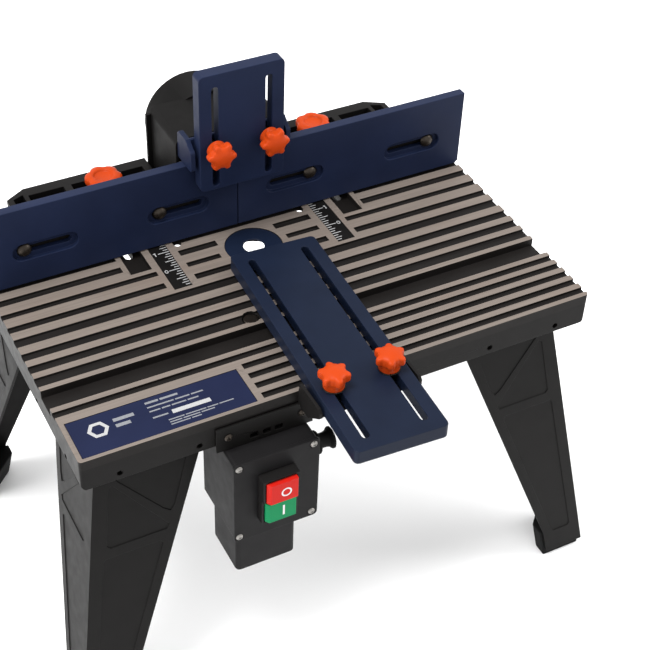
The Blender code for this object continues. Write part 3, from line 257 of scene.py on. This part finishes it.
def casting():
    """The table top: black paint below, made darker on the aprons as painted shade, and bare machined metal
    on every face at full height.
    """
    nodes = Nodes("cast_table", MACHINED, 0.45)
    level = nodes.height()
    bare = nodes.span(level, 0.0, 1.0, TOP - 0.00022, TOP - 0.00012)
    streaks = nodes.noise(1.0, 4.0, (14.0, 900.0, 1.0))
    clouds = nodes.noise(16.0, 4.0, (0.5, 1.6, 1.0))
    metal = nodes.mix(nodes.span(streaks, 0.0, 1.0, 0.25, 0.75), shade(MACHINED, 0.86), shade(MACHINED, 1.12))
    warm = (MACHINED[0] * 0.92, MACHINED[1] * 0.84, MACHINED[2] * 0.80)
    metal = nodes.mix(nodes.span(clouds, 0.0, 0.6, 0.50, 0.78), metal, warm)
    patches = nodes.span(nodes.noise(24.0, 4.0), 0.0, 1.0, 0.3, 0.7)
    # Painted shade: the aprons below the grooves get the darker copy of the black paint.
    apron_painted_shade = nodes.mix(patches, shade(APRON_BLACK_PAINTED_SHADE, 0.90), shade(APRON_BLACK_PAINTED_SHADE, 1.10))
    groove = nodes.mix(patches, shade(GROOVE_BLACK, 0.85), shade(GROOVE_BLACK, 1.15))
    groove_above_apron_shade = nodes.span(level, 0.0, 1.0, TOP - GROOVE_REACH - 0.0004, TOP - GROOVE_REACH)
    paint = nodes.mix(groove_above_apron_shade, apron_painted_shade, groove)
    nodes.colour(nodes.mix(bare, paint, metal))
    nodes.link(nodes.span(bare, 0.0, 0.25), nodes.shader.inputs["Metallic"])
    rough_metal = nodes.span(streaks, 0.48, 0.64, 0.3, 0.7)
    rough_paint = nodes.span(nodes.noise(120.0, 3.0), 0.38, 0.46, 0.3, 0.7)
    mixed = nodes.math('ADD', nodes.math('MULTIPLY', bare, rough_metal),
                       nodes.math('MULTIPLY', nodes.math('SUBTRACT', 1.0, bare), rough_paint))
    nodes.roughness(mixed)
    grain = nodes.math('ADD', nodes.math('MULTIPLY', bare, streaks),
                       nodes.math('MULTIPLY', nodes.math('SUBTRACT', 1.0, bare), nodes.noise(600.0, 3.0)))
    nodes.bump(grain, 0.00004, 0.6)
    return nodes.material


def metal(name, colour, roughness):
    """Plated or blackened steel with fine turning marks and faint tarnish."""
    nodes = Nodes(name, colour, roughness, 1.0)
    wide = nodes.noise(260.0, 3.0)
    nodes.colour(nodes.mix(nodes.span(wide, 0.0, 1.0, 0.3, 0.7), shade(colour, 0.78), shade(colour, 1.15)))
    nodes.roughness(nodes.span(nodes.noise(900.0, 2.0), roughness - 0.08, roughness + 0.10, 0.3, 0.7))
    nodes.bump(nodes.noise(1400.0, 2.0), 0.00002, 0.5)
    return nodes.material


def ink(name, colour):
    """Printed ink: an almost even colour with slight thin spots."""
    nodes = Nodes(name, colour, 0.5)
    thin = nodes.span(nodes.noise(900.0, 3.0), 0.0, 1.0, 0.25, 0.75)
    nodes.colour(nodes.mix(thin, shade(colour, 0.82), shade(colour, 1.08)))
    nodes.bump(nodes.noise(2600.0, 2.0), 0.00001, 0.3)
    return nodes.material


MATERIALS = {
    "cast": casting(),
    "leg": moulded("leg_black", PANEL_BLACK, 0.46, 1100.0, 0.00003, 0.10, 0.06),
    "black": moulded("moulded_black", MOULDED_BLACK, 0.46),
    "box": moulded("box_black", BOX_BLACK, 0.50, 1100.0, 0.00004),
    "hood": moulded("hood_black", HOOD_BLACK, 0.58),
    "blue": moulded("moulded_blue", BLUE, 0.42),
    # Painted light: a brighter copy of the blue plastic for the fence halves, guard plate and guard bracket.
    "fence": moulded("fence_blue", UPRIGHT_BLUE_PAINTED_LIGHT, 0.46),
    "ring": moulded("ring_blue", RING_BLUE, 0.40),
    "orange": moulded("moulded_orange", ORANGE, 0.36, 1700.0, 0.00002, 0.05, 0.05),
    "red": moulded("moulded_red", RED, 0.34, 1900.0, 0.00001, 0.05, 0.05),
    "green": moulded("moulded_green", GREEN, 0.34, 1900.0, 0.00001, 0.05, 0.05),
    "rubber": moulded("rubber_black", RUBBER, 0.70, 900.0, 0.00006, 0.2, 0.25),
    "zinc": metal("zinc_steel", ZINC, 0.36),
    "dark": metal("blackened_steel", BLACKENED, 0.38),
    "white": ink("white_ink", WHITE_INK),
    # Painted light: a brighter copy of the white ink for the buttons.
    "button_white": ink("button_white_ink", BUTTON_INK_PAINTED_LIGHT),
    "grey": ink("grey_ink", (0.16, 0.164, 0.176)),
    "label": moulded("label_film", LABEL_BLUE, 0.42, 2200.0, 0.00001, 0.0, 0.08),
    "scale": moulded("scale_film", SCALE_BLACK, 0.44, 2200.0, 0.00001, 0.0, 0.15),
}


# ---------------------------------------------------------------- mesh helpers
def finish_piece(name, mesh, material, body, slot=None, nodes=()):
    """Puts a mesh into the scene as a piece that rides on a body."""
    piece = bpy.data.objects.new(name, mesh)
    bpy.context.scene.collection.objects.link(piece)
    mesh.materials.clear()
    mesh.materials.append(MATERIALS[material])
    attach(piece, body)
    if nodes:
        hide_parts(*nodes)
    return piece


def to_mesh(bm, name, angle=35.0):
    bmesh.ops.recalc_face_normals(bm, faces=bm.faces)
    mesh = bpy.data.meshes.new(name)
    bm.to_mesh(mesh)
    bm.free()
    mesh.shade_smooth()
    mesh.set_sharp_from_angle(angle=math.radians(angle))
    return mesh


def bevel(piece, width, segments=2, weighted=False):
    """Rounds a piece's sharp edges, or the edges that carry a weight."""
    modifier = piece.modifiers.new("edges", 'BEVEL')
    modifier.width = width
    modifier.segments = segments
    modifier.limit_method = 'WEIGHT' if weighted else 'ANGLE'
    modifier.angle_limit = math.radians(SHARP_ANGLE)
    modifier.use_clamp_overlap = True
    modifier.harden_normals = True
    modifier.miter_outer = 'MITER_ARC'
    return modifier


def refine(node, material, width, segments=2, weight=None, clamp=True):
    """A skin over a CAD node: the same shape with rounded edges and a finished material.

    weight, where given, says how round the edge between two points is, from 0 to 1.
    """
    mesh = frame["nodes"][node].data.copy()
    mesh.name = node + "_skin"
    bm = bmesh.new()
    bm.from_mesh(mesh)
    bmesh.ops.remove_doubles(bm, verts=bm.verts, dist=0.00002)
    bmesh.ops.dissolve_limit(bm, angle_limit=math.radians(1.0), verts=bm.verts, edges=bm.edges)
    wide = [face for face in bm.faces if len(face.verts) > 4]
    bmesh.ops.triangulate(bm, faces=wide, quad_method='BEAUTY', ngon_method='BEAUTY')
    if weight is not None:
        floats = bm.edges.layers.float
        layer = floats.get("bevel_weight_edge") or floats.new("bevel_weight_edge")
        for edge in bm.edges:
            if len(edge.link_faces) != 2:
                continue
            if edge.calc_face_angle() < math.radians(SHARP_ANGLE):
                continue
            edge[layer] = weight(edge.verts[0].co, edge.verts[1].co)
    bm.to_mesh(mesh)
    bm.free()
    mesh.shade_smooth()
    piece = finish_piece(node + "_skin", mesh, material, BODY_OF[node], SLOT_OF[node], (node,))
    bevel(piece, width, segments, weight is not None).use_clamp_overlap = clamp
    flat = piece.modifiers.new("flat", 'WEIGHTED_NORMAL')
    flat.mode = 'FACE_AREA'
    flat.weight = 100
    flat.keep_sharp = True
    return piece


def turned(name, profile, centre, direction, material, body, slot=None, nodes=(), steps=64):
    """A turned piece from a closed or open profile of (radius, height) about a direction."""
    bm = bmesh.new()
    verts = [bm.verts.new((radius, 0.0, height)) for radius, height in profile]
    edges = [bm.edges.new(pair) for pair in zip(verts, verts[1:])]
    bmesh.ops.spin(bm, geom=verts + edges, cent=(0, 0, 0), axis=(0, 0, 1), angle=2 * math.pi,
                   steps=steps, use_merge=True)
    bmesh.ops.remove_doubles(bm, verts=bm.verts, dist=0.000002)
    place(bm, centre, direction)
    mesh = to_mesh(bm, name, 30.0)
    return finish_piece(name, mesh, material, body, slot, nodes)


def place(bm, centre, direction):
    """Turns a shape that was built about +Z to point along a direction, and moves it."""
    turn = Vector(direction).to_track_quat('Z', 'Y').to_matrix().to_4x4()
    bmesh.ops.transform(bm, matrix=Matrix.Translation(centre) @ turn, verts=bm.verts)


def slab(bm, low, high):
    """A box between two corners given in table coordinates."""
    low = at(*low)
    high = at(*high)
    verts = bmesh.ops.create_cube(bm, size=1.0)["verts"]
    bmesh.ops.scale(bm, vec=high - low, verts=verts)
    bmesh.ops.translate(bm, vec=(low + high) / 2, verts=verts)


# ---------------------------------------------------------------- the cast table
def build_table():
    refine("table_top", "cast", 0.0003, 2, clamp=False)
    for place_name in ("front_left", "front_right", "rear_left", "rear_right"):
        refine("leg_" + place_name, "leg", 0.0006, 2)
        refine("foot_" + place_name, "rubber", 0.0015, 2)
    low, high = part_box("insert_ring")
    radius = (high.x - low.x) / 2
    centre = at(0, BIT_Y, 0)
    top = high.z - TOP
    floor = low.z - TOP
    hole = RING_HOLE
    profile = [(hole + 0.0045, floor), (hole, top - 0.0009), (hole, top - 0.0003), (hole + 0.0004, top),
               (radius - 0.0009, top), (radius - 0.0002, top - 0.0004), (radius, top - 0.0012),
               (radius, floor), (hole + 0.0045, floor)]
    turned("insert_ring_skin", profile, centre, (0, 0, 1), "ring", BODY_OF["insert_ring"],
           SLOT_OF["insert_ring"], ("insert_ring",), 96)
    for i in range(1, 5):
        refine("router_clamp_%d" % i, "dark", 0.0005, 2)


def bar_lines(rows, across, along, pitch, gap, heights):
    """Rows of short bars that stand for lines of print."""
    bars = []
    for row, lengths in enumerate(rows):
        start = across
        for length in lengths:
            bars.append((start, along - pitch * row, length, heights[row]))
            start += length + gap
    return bars


def build_label():
    """The label plate, printed with plain bars and a hexagon."""
    refine("label_plate", "label", 0.0002, 1)
    low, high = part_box("label_plate")
    body = BODY_OF["label_plate"]
    x_low = low.x
    y_low = low.y - FRONT
    z = high.z - TOP

    def print_bars(name, material, rows):
        bm = bmesh.new()
        for across, along, width, height in rows:
            slab(bm, (x_low + across, y_low + along, z - 0.0001),
                 (x_low + across + width, y_low + along + height, z + LABEL_INK))
        finish_piece(name, to_mesh(bm, name), material, body)

    centre = at(x_low + HEXAGON_AT[0], y_low + HEXAGON_AT[1], z)
    ring("label_hexagon", *HEXAGON_RADII, centre, (0, 0, 1), LABEL_INK, "white", body, steps=6)
    print_bars("label_title", "grey", TITLE_BARS)
    fine = bar_lines(UPPER_LINES, 0.0630, 0.0333, 0.0047, 0.0013, (0.0021, 0.0014, 0.0014))
    fine.append(BESIDE_BOX)
    fine += bar_lines(LOWER_LINES, 0.0730, 0.0098, 0.0026, 0.0011, (0.0011, 0.0011, 0.0011))
    print_bars("label_lines", "grey", fine)
    print_bars("label_box", "white", [PALE_BOX])


def build_scales():
    """The two scale strips: eighth-inch ticks on the inner side, with 0 and 1 beside them."""
    for side, node in ((-1, "scale_left"), (1, "scale_right")):
        refine(node, "scale", 0.0002, 1)
        low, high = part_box(node)
        top = high.z - TOP
        inner = min(abs(low.x), abs(high.x))
        start = low.y - FRONT
        end = high.y - FRONT
        bm = bmesh.new()
        count = int((SCALE_ZERO_Y - start) / (INCH / 8))
        tick = -count
        while SCALE_ZERO_Y + tick * INCH / 8 < end - 0.0008:
            y = SCALE_ZERO_Y + tick * INCH / 8
            length = TICK_LENGTHS[math.gcd(tick, 8)]
            x_pair = sorted((side * (inner + 0.0001), side * (inner + length)))
            slab(bm, (x_pair[0], y - 0.0004, top - 0.0001), (x_pair[1], y + 0.0004, top + SCALE_INK))
            tick += 1
        x = side * (inner + NUMERAL_REACH)
        for y in (SCALE_ZERO_Y + INCH, SCALE_ZERO_Y + 2 * INCH):
            if y + 0.003 < end:
                slab(bm, (x - 0.0005, y - 0.0024, top - 0.0001), (x + 0.0005, y + 0.0024, top + SCALE_INK))
                slab(bm, (x - 0.0016, y + 0.0012, top - 0.0001), (x - 0.0005, y + 0.0021, top + SCALE_INK))
        finish_piece(node + "_ticks", to_mesh(bm, node + "_ticks"), "white", BODY_OF[node])
        ring(node + "_zero", 0.0022, 0.0014, at(x, SCALE_ZERO_Y, top), (0, 0, 1), ZERO_INK, "white",
             BODY_OF[node], squash=0.72)


def ring(name, outer, inner, centre, direction, thickness, material, body, squash=1.0, steps=48):
    """A flat ring of ink or metal lying on a face."""
    profile = [(outer, -0.0001), (outer, thickness), (inner, thickness), (inner, -0.0001), (outer, -0.0001)]
    piece = turned(name, profile, Vector((0, 0, 0)), direction, material, body, steps=steps)
    for vertex in piece.data.vertices:
        vertex.co.x *= squash
        vertex.co += centre
    return piece


# ---------------------------------------------------------------- knobs, bolts and screws
def lobe_share(angle, reach, lobe):
    """How far a knob's outline stands out at an angle, from 0 between lobes to 1 on one.

    reach is the distance of a lobe's centre from the axis and lobe its radius, as parts of
    the knob's full radius.
    """
    total = 0.0
    for shift in (-0.07, -0.035, 0.0, 0.035, 0.07):
        turn = (angle + shift + math.pi / 6) % (math.pi / 3) - math.pi / 6
        under = lobe ** 2 - (reach * math.sin(turn)) ** 2
        out = reach * math.cos(turn) + math.sqrt(under) if under > 0 else 0.0
        total += max(0.0, out - reach) / lobe
    return total / 5


def knob(node, direction, levels, turn, lobe, washer=True):
    """A moulded six-lobed hand knob, with or without a washer, from (height, valley, lobe) levels."""
    low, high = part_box(node)
    middle = (low + high) / 2
    direction = Vector(direction)
    reach = abs((high - low).dot(direction))
    base = middle - direction * reach / 2
    count = 120
    bm = bmesh.new()
    rings = []
    for height, valley, crest in levels:
        loop = []
        for i in range(count):
            angle = 2 * math.pi * i / count
            distance = valley + (crest - valley) * lobe_share(angle, 1 - lobe, lobe)
            angle += turn
            loop.append(bm.verts.new((distance * math.cos(angle), distance * math.sin(angle), height)))
        rings.append(loop)
    for lower, upper in zip(rings, rings[1:]):
        for i in range(count):
            j = (i + 1) % count
            bm.faces.new((lower[i], lower[j], upper[j], upper[i]))
    bm.faces.new(rings[-1])
    bm.faces.new(list(reversed(rings[0])))
    place(bm, base, direction)
    mesh = to_mesh(bm, node, 60.0)
    piece = finish_piece(node + "_skin", mesh, "orange", BODY_OF[node], SLOT_OF[node], (node,))
    if washer:
        section = [(0.0034, 0.00002), (0.0092, 0.00002), (0.0094, 0.0003), (0.0092, 0.0008), (0.0034, 0.0008),
                   (0.0034, 0.00002)]
        turned(node + "_washer", section, base, direction, "dark", BODY_OF[node])
    return piece


def build_knobs():
    turns = (("left", -0.35, 0.45, -0.09), ("right", 0.20, 0.12, 0.03))
    for word, clamp_turn, slide_turn, guard_turn in turns:
        knob("clamp_knob_" + word, (0, 0, 1), CLAMP_KNOB_LEVELS, clamp_turn, 0.30)
        knob("slide_knob_" + word, (0, 0, 1), SMALL_KNOB_LEVELS, slide_turn, 0.22)
        knob("guard_knob_" + word, (0, -1, 0), SMALL_KNOB_LEVELS, guard_turn, 0.22, False)
        refine("clamp_bolt_" + word, "zinc", 0.0003, 1)
        refine("slide_bolt_" + word, "dark", 0.0003, 1)
        refine("guard_bolt_" + word, "dark", 0.0003, 1)


def fence_bolt(node):
    """A coach bolt: a smooth dome, a plain shank and a hexagon nut behind."""
    low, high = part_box(node)
    middle = (low + high) / 2
    length = high.y - low.y
    start = Vector((middle.x, high.y, middle.z))
    head = (high.z - low.z) / 2 + 0.0001
    profile = [(0.0, length), (0.0018, length - 0.00015), (0.0036, length - 0.0007),
               (0.0051, length - 0.0017), (0.0062, length - 0.0029), (head, length - 0.0036),
               (0.0029, length - 0.0036), (0.0029, 0.0001), (0.0, 0.0001)]
    turned(node + "_skin", profile, start, (0, -1, 0), "dark", BODY_OF[node], SLOT_OF[node], (node,), 40)
    bm = bmesh.new()
    bmesh.ops.create_cone(bm, cap_ends=True, segments=6, radius1=0.0055, radius2=0.0055, depth=0.0042)
    place(bm, start + Vector((0, -0.0022, 0)), (0, -1, 0))
    nut = finish_piece(node + "_nut", to_mesh(bm, node + "_nut"), "dark", BODY_OF[node])
    bevel(nut, 0.0003, 1)


def cross_screw(node, material="zinc"):
    """A pan-head screw with a cross recess in its head."""
    low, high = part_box(node)
    middle = (low + high) / 2
    length = high.y - low.y
    radius = (high.x - low.x) / 2
    start = Vector((middle.x, high.y, middle.z))
    profile = [(0.0, length), (radius * 0.55, length - 0.00025), (radius * 0.85, length - 0.0008),
               (radius, length - 0.0015), (radius, length - 0.0019), (0.0018, length - 0.0019),
               (0.0018, 0.0001), (0.0, 0.0001)]
    piece = turned(node + "_skin", profile, start, (0, -1, 0), material, BODY_OF[node], SLOT_OF[node],
                   (node,), 32)
    bm = bmesh.new()
    for turn in (0.4, 0.4 + math.pi / 2):
        verts = bmesh.ops.create_cube(bm, size=1.0)["verts"]
        bmesh.ops.scale(bm, vec=(radius * 1.15, radius * 0.30, 0.0022), verts=verts)
        bmesh.ops.rotate(bm, matrix=Matrix.Rotation(turn, 3, 'Z'), verts=verts)
    place(bm, Vector((middle.x, low.y, middle.z)), (0, -1, 0))
    cutter = bpy.data.objects.new(node + "_cross", to_mesh(bm, node + "_cross"))
    bpy.context.scene.collection.objects.link(cutter)
    cut = piece.modifiers.new("cross", 'BOOLEAN')
    cut.operation = 'DIFFERENCE'
    cut.solver = 'EXACT'
    cut.use_self = True
    cut.object = cutter
    graph = bpy.context.evaluated_depsgraph_get()
    mesh = bpy.data.meshes.new_from_object(piece.evaluated_get(graph))
    piece.modifiers.clear()
    piece.data = mesh
    bpy.data.objects.remove(cutter, do_unlink=True)
    return piece


# ---------------------------------------------------------------- fence and guards
def build_fence():
    for word in ("left", "right"):
        refine("fence_" + word, "fence", 0.0006, 3)
        for spot in ("inner", "outer"):
            fence_bolt("fence_bolt_%s_%s" % (word, spot))
    refine("fence_body", "black", 0.0006, 2)
    refine("dust_hood", "hood", 0.0006, 2)
    refine("guard_bracket", "fence", 0.0009, 3)


def plate_weight(node, axis, sign):
    """A weight that leaves everything but the outer edges of a plate's face barely rounded."""
    low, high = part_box(node)
    face = high[axis] if sign > 0 else low[axis]
    middle = (low + high) / 2
    reach = (high - low) * FACE_RIM

    def weight(first, second):
        centre = (first + second) / 2
        on_face = abs(first[axis] - face) < 0.0001 and abs(second[axis] - face) < 0.0001
        outside = any(abs(centre[i] - middle[i]) > reach[i] for i in range(3) if i != axis)
        return 1.0 if on_face and outside else INNER_ROUNDING

    return weight


def build_plates():
    refine("slide_plate", "blue", 0.0009, 3, plate_weight("slide_plate", 2, 1))
    refine("guard_plate", "fence", 0.0009, 3, plate_weight("guard_plate", 1, -1))
    refine("slide_bracket", "black", 0.0006, 2)


# ---------------------------------------------------------------- switch box
def build_switch():
    refine("switch_bracket", "leg", 0.0004, 2)
    refine("switch_box", "box", 0.0012, 3)
    refine("switch_cover", "box", 0.0011, 3)
    refine("switch_frame", "black", 0.0005, 2)
    refine("stop_button", "red", 0.0006, 3)
    refine("start_button", "green", 0.0006, 3)
    refine("outlet_housing", "box", 0.0010, 3)
    for i in range(1, 5):
        cross_screw("cover_screw_%d" % i)
    for word in ("left", "right"):
        cross_screw("bracket_screw_" + word, "dark")
    low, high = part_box("stop_button")
    centre = Vector(((low.x + high.x) / 2 + 0.0026, low.y, (low.z + high.z) / 2 - 0.0008))
    # The O and I symbols take the brighter copy of the white ink, as painted light.
    ring("stop_symbol", 0.0046, 0.0032, centre, (0, -1, 0), 0.00008, "button_white", BODY_OF["stop_button"])
    low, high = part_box("start_button")
    middle = (low + high) / 2
    bm = bmesh.new()
    verts = bmesh.ops.create_cube(bm, size=1.0)["verts"]
    bmesh.ops.scale(bm, vec=(0.0017, 0.0002, 0.0110), verts=verts)
    bmesh.ops.translate(bm, vec=(middle.x + 0.0019, low.y + 0.00002, middle.z), verts=verts)
    finish_piece("start_symbol", to_mesh(bm, "start_symbol"), "button_white", BODY_OF["start_button"])
    build_gland()


def build_gland():
    """The bell-mouthed rubber sleeve that the supply cord would pass through."""
    low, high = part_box("cable_gland")
    middle = (low + high) / 2
    start = Vector((low.x, middle.y, middle.z))
    bore = 0.0042
    wall = 0.0060
    profile = [(bore, 0.0), (0.0062, 0.0), (0.0062, wall + 0.0003), (0.0117, wall + 0.0003),
               (0.0117, wall + 0.0028), (0.0106, wall + 0.0040), (0.0103, wall + 0.0130),
               (0.0096, wall + 0.0138), (0.0070, wall + 0.0146), (0.0064, wall + 0.0160),
               (0.0065, wall + 0.0200), (0.0072, wall + 0.0228), (0.0090, wall + 0.0246),
               (0.0096, wall + 0.0256), (0.0095, wall + 0.0266), (0.0088, wall + 0.0270),
               (0.0060, wall + 0.0266), (bore, wall + 0.0250), (bore, 0.0)]
    turned("cable_gland_skin", profile, start, (1, 0, 0), "rubber", BODY_OF["cable_gland"],
           SLOT_OF["cable_gland"], ("cable_gland",), 48)


# ---------------------------------------------------------------- stage
def build_stage():
    bm = bmesh.new()
    bmesh.ops.create_grid(bm, x_segments=1, y_segments=1, size=6.0)
    mesh = to_mesh(bm, "floor")
    floor = bpy.data.objects.new("floor", mesh)
    bpy.context.scene.collection.objects.link(floor)
    nodes = Nodes("floor_paper", (0.95, 0.95, 0.95), 0.9)
    faint = nodes.span(nodes.noise(3.0, 2.0), 0.0, 1.0)
    nodes.colour(nodes.mix(faint, (0.94, 0.94, 0.94), (0.96, 0.96, 0.96)))
    mesh.materials.append(nodes.material)


def soft_light(name, location, target, size, power):
    data = bpy.data.lights.new(name, 'AREA')
    data.shape = 'DISK'
    data.size = size
    data.energy = power
    lamp = bpy.data.objects.new(name, data)
    lamp.location = location
    lamp.rotation_euler = (Vector(target) - Vector(location)).to_track_quat('-Z', 'Y').to_euler()
    bpy.context.scene.collection.objects.link(lamp)


def build_light():
    world = bpy.data.worlds.new("studio")
    world.use_nodes = True
    background = world.node_tree.nodes["Background"]
    background.inputs["Color"].default_value = (1.0, 1.0, 1.0, 1.0)
    background.inputs["Strength"].default_value = 1.25
    bpy.context.scene.world = world
    soft_light("overhead", (-0.7, -0.1, 2.1), (0.0, 0.0, 0.30), 0.9, 44.0)
    soft_light("left_side", (-2.2, -0.1, 0.9), (0.0, 0.0, 0.20), 1.0, 20.0)
    soft_light("right_side", (1.9, -0.5, 1.6), (0.3, 0.0, 0.0), 1.3, 34.0)
    view = bpy.context.scene.view_settings
    view.view_transform = 'Standard'
    view.look = 'None'
    view.exposure = 0.0
    view.gamma = 1.0


def build_camera():
    """The camera: where it stands in table coordinates, and the way it looks."""
    forward = Vector(CAMERA_FORWARD).normalized()
    right = Vector(CAMERA_RIGHT)
    right = (right - forward * right.dot(forward)).normalized()
    up = right.cross(forward)
    data = bpy.data.cameras.new("camera")
    data.sensor_width = 36.0
    data.lens = CAMERA_LENS
    data.shift_x, data.shift_y = CAMERA_SHIFT
    data.clip_start = 0.05
    data.clip_end = 50.0
    camera = bpy.data.objects.new("camera", data)
    turn = Matrix((right, up, -forward)).transposed().to_4x4()
    camera.matrix_world = Matrix.Translation(at(*CAMERA_AT)) @ turn
    bpy.context.scene.collection.objects.link(camera)
    bpy.context.scene.camera = camera


build_table()
build_label()
build_scales()
build_knobs()
build_fence()
build_plates()
build_switch()
build_stage()
build_light()
build_camera()
